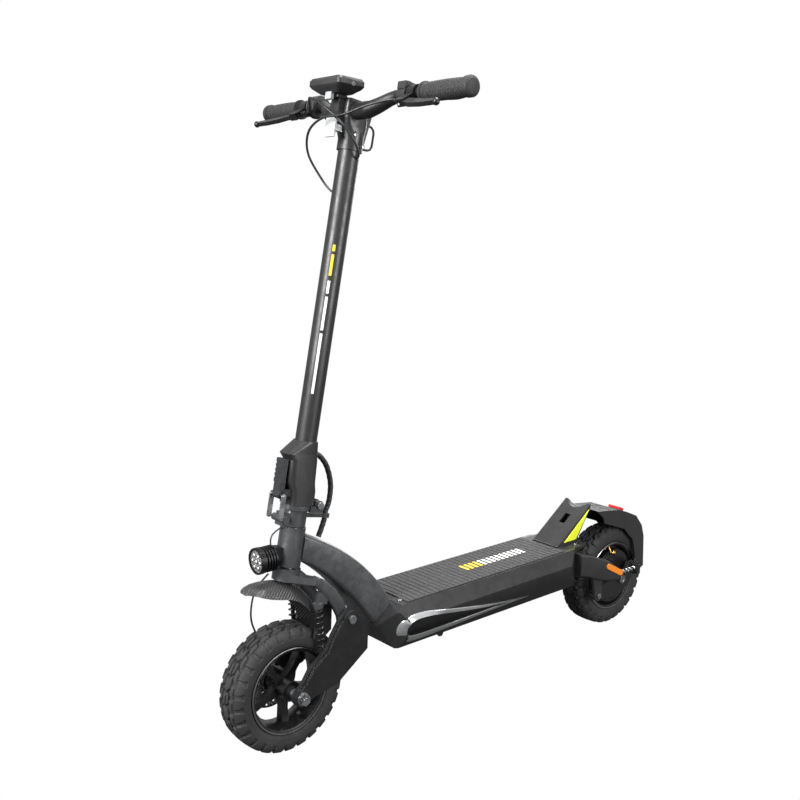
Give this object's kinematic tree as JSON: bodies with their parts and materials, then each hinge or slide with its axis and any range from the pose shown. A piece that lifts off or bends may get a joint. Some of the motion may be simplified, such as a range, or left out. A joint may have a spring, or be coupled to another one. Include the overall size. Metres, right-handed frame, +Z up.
{
  "type": "kick scooter",
  "caption": "Folding electric kick scooter with sprung front arms and rear links, ribbed foot deck, kickplate, round headlight, display and folding kickstand",
  "frame": {"origin": "on the ground under the middle of the scooter, midway between the two wheel axles", "axes": "+X forward, +Y to the rider's left, +Z up"},
  "size_m": [1.241, 0.622, 1.2839],
  "materials": {
    "frame_grey": "satin",
    "deck_black": "satin",
    "lid_black": "matte",
    "mat_rubber": "ribbed matte",
    "trim_silver": "gloss",
    "bearing_steel": "ground",
    "battery_wrap": "shrink wrap",
    "controller_alu": "cast",
    "kick_black": "satin",
    "reflector_yellow": "gloss",
    "stay_grey": "satin",
    "reflector_orange": "gloss",
    "lamp_black": "anodised",
    "lens_clear": "clear",
    "cable_black": "matte",
    "loom_wrap": "spiral wrap",
    "bolt_steel": "zinc",
    "flap_rubber": "matte",
    "stand_black": "satin",
    "fork_grey": "satin",
    "latch_grey": "satin",
    "link_silver": "brushed",
    "fender_black": "textured",
    "arm_black": "satin",
    "axle_steel": "zinc",
    "caliper_black": "satin",
    "spring_steel": "bright",
    "spring_black": "satin",
    "rim_black": "satin",
    "tyre_black": "matte",
    "disc_steel": "brushed",
    "stem_black": "satin",
    "bar_black": "satin",
    "grip_rubber": "textured",
    "case_black": "fine texture",
    "screen_glass": "gloss",
    "reflector_white": "gloss",
    "lever_black": "satin",
    "button_grey": "matte",
    "fender_gloss": "gloss",
    "lamp_red": "gloss"
  },
  "bodies": {
    "frame": {"main_frame": "frame_grey", "headset_bearings": "bearing_steel", "deck_shell": "deck_black", "deck_lid": "lid_black", "deck_mat": "mat_rubber", "side_trims": "trim_silver", "battery_pack": "battery_wrap", "controller": "controller_alu", "kickplate": "kick_black", "kick_reflectors": "reflector_yellow", "rear_stays": "stay_grey", "stay_reflectors": "reflector_orange", "headlight_body": "lamp_black", "headlight_lens": "lens_clear", "headlight_lead": "cable_black", "deck_screws": "bolt_steel", "cable_lower": "loom_wrap", "rear_springs": "spring_steel"},
    "flap": {"charge_cap": "flap_rubber"},
    "stand": {"kickstand": "stand_black"},
    "steerer": {"fork": "fork_grey", "fold_base": "frame_grey", "hinge_pin": "bolt_steel", "front_fender": "fender_black", "front_springs": "spring_black", "front_brake_cable": "cable_black"},
    "front_arm": {"front_arms": "arm_black", "front_axle": "axle_steel", "front_caliper": "caliper_black"},
    "front_wheel": {"front_rim": "rim_black", "front_tyre": "tyre_black", "front_rotor": "disc_steel"},
    "stem": {"stem_block": "stem_black", "stem_tube": "stem_black", "stem_head": "stem_black", "handlebar": "bar_black", "grips": "grip_rubber", "perches": "lever_black", "display_case": "case_black", "display_screen": "screen_glass", "front_reflector": "reflector_white", "switch_pod": "case_black", "throttle_body": "case_black", "brake_cables": "cable_black", "cable_upper": "loom_wrap"},
    "latch": {"latch_lever": "latch_grey"},
    "link": {"latch_link": "link_silver"},
    "lever_l": {"brake_lever_l": "lever_black"},
    "lever_r": {"brake_lever_r": "lever_black"},
    "paddle": {"throttle_paddle": "case_black"},
    "horn": {"horn_button": "button_grey"},
    "power": {"power_button": "button_grey"},
    "rear_arm": {"rear_links": "arm_black", "rear_axle": "axle_steel", "rear_fender": "fender_gloss", "tail_light": "lamp_red", "rear_caliper": "caliper_black"},
    "rear_wheel": {"motor_shell": "rim_black", "rear_tyre": "tyre_black", "rear_rotor": "disc_steel"}
  },
  "joints": [
    {"name": "steering", "type": "hinge", "parent": "frame", "child": "steerer", "pos_m": [0.524, 0, 0.1275], "axis": [-0.1994, 0, 0.9799], "range_deg": [-55, 55], "deforming": ["cable_lower"]},
    {"name": "front_suspension", "type": "hinge", "parent": "steerer", "child": "front_arm", "pos_m": [0.37335, 0, 0.25605], "axis": [0, -1, 0], "range_deg": [0, 8], "stiffness_Nm_per_rad": 260, "springref_deg": -5.73, "deforming": ["front_springs", "front_brake_cable"]},
    {"name": "front_wheel_spin", "type": "hinge", "parent": "front_arm", "child": "front_wheel", "pos_m": [0.493, 0, 0.1275], "axis": [0, 1, 0], "continuous": true},
    {"name": "stem_fold", "type": "hinge", "parent": "steerer", "child": "stem", "pos_m": [0.41446, 0, 0.48535], "axis": [0, -1, 0], "range_deg": [0, 91], "deforming": ["cable_upper"]},
    {"name": "latch_open", "type": "hinge", "parent": "stem", "child": "latch", "pos_m": [0.48298, 0, 0.5197], "axis": [0, 1, 0], "range_deg": [0, 55]},
    {"name": "latch_link_swing", "type": "hinge", "parent": "latch", "child": "link", "pos_m": [0.49202, 0, 0.51541], "axis": [0, 1, 0], "range_deg": [-110, 0]},
    {"name": "brake_left", "type": "hinge", "parent": "stem", "child": "lever_l", "pos_m": [0.32006, 0.165, 1.2313], "axis": [0.4462, 0, 0.8949], "range_deg": [0, 16], "stiffness_Nm_per_rad": 2.5, "springref_deg": -11.46},
    {"name": "brake_right", "type": "hinge", "parent": "stem", "child": "lever_r", "pos_m": [0.32006, -0.165, 1.2313], "axis": [-0.4462, 0, -0.8949], "range_deg": [0, 16], "stiffness_Nm_per_rad": 2.5, "springref_deg": -11.46},
    {"name": "throttle", "type": "hinge", "parent": "stem", "child": "paddle", "pos_m": [0.29142, -0.134, 1.24558], "axis": [0, -1, 0], "range_deg": [0, 30], "stiffness_Nm_per_rad": 0.4, "springref_deg": -11.46},
    {"name": "horn_press", "type": "slide", "parent": "stem", "child": "horn", "axis": [0.1994, 0, -0.9799], "range_m": [0, 0.002], "stiffness_N_per_m": 600, "springref_m": -0.001},
    {"name": "power_press", "type": "slide", "parent": "stem", "child": "power", "axis": [0, -1, 0], "range_m": [0, 0.0015], "stiffness_N_per_m": 600, "springref_m": -0.001},
    {"name": "rear_suspension", "type": "hinge", "parent": "frame", "child": "rear_arm", "pos_m": [-0.396, 0, 0.1075], "axis": [0, 1, 0], "range_deg": [0, 7], "stiffness_Nm_per_rad": 300, "springref_deg": -6.88, "deforming": ["rear_springs"]},
    {"name": "rear_wheel_spin", "type": "hinge", "parent": "rear_arm", "child": "rear_wheel", "pos_m": [-0.493, 0, 0.1275], "axis": [0, 1, 0], "continuous": true},
    {"name": "kickstand_fold", "type": "hinge", "parent": "frame", "child": "stand", "pos_m": [-0.12, -0.092, 0.1565], "axis": [-0.0356, 0.8369, -0.5463], "range_deg": [0, 90]},
    {"name": "charge_flap", "type": "hinge", "parent": "frame", "child": "flap", "pos_m": [-0.205, -0.094, 0.2265], "axis": [-1, 0, 0], "range_deg": [0, 110]}
  ],
  "couplings": [
    {"joint": "latch_link_swing", "follows": "latch_open", "ratio": -2}
  ]
}
